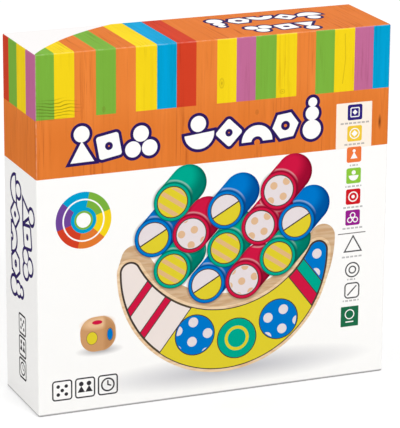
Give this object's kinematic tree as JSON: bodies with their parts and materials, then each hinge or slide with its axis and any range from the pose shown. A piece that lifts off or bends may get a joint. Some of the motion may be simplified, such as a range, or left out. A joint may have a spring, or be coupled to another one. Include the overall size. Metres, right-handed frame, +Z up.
{
  "type": "board game box with a stacking balance game",
  "caption": "Upright square game box of wrapped board with a full-depth lift-off lid over a tray; a die-cut insert holds a wooden rocker, stacking pieces and a die.",
  "frame": {"origin": "middle of the box's footprint, on the surface that it stands on", "axes": "+X to the right seen from the printed face, -Y out of the printed face, +Z up; the lid lifts off along -Y"},
  "size_m": [0.25, 0.066, 0.245],
  "materials": {
    "printed_board": "gloss-laminated print",
    "tray_board": "white wrap, satin",
    "insert_card": "white card, matte",
    "plain_wood": "bare, sanded",
    "green_wood": "satin lacquer",
    "blue_wood": "satin lacquer",
    "red_wood": "satin lacquer",
    "leaflet_paper": "uncoated, matte"
  },
  "bodies": {
    "base": {"base_tray": "tray_board", "insert": "insert_card", "rocker": "plain_wood", "die": "plain_wood", "rules_leaflet": "leaflet_paper", "stacker_green_1": "green_wood", "stacker_green_2": "green_wood", "stacker_green_3": "green_wood", "stacker_green_4": "green_wood", "stacker_blue_1": "blue_wood", "stacker_blue_2": "blue_wood", "stacker_blue_3": "blue_wood", "stacker_blue_4": "blue_wood", "stacker_red_1": "red_wood", "stacker_red_2": "red_wood", "stacker_red_3": "red_wood", "stacker_red_4": "red_wood"},
    "lid": {"lid": "printed_board"}
  },
  "joints": [
    {"name": "lid_slide", "type": "slide", "parent": "base", "child": "lid", "axis": [0, -1, 0], "range_m": [0, 0.2]}
  ]
}
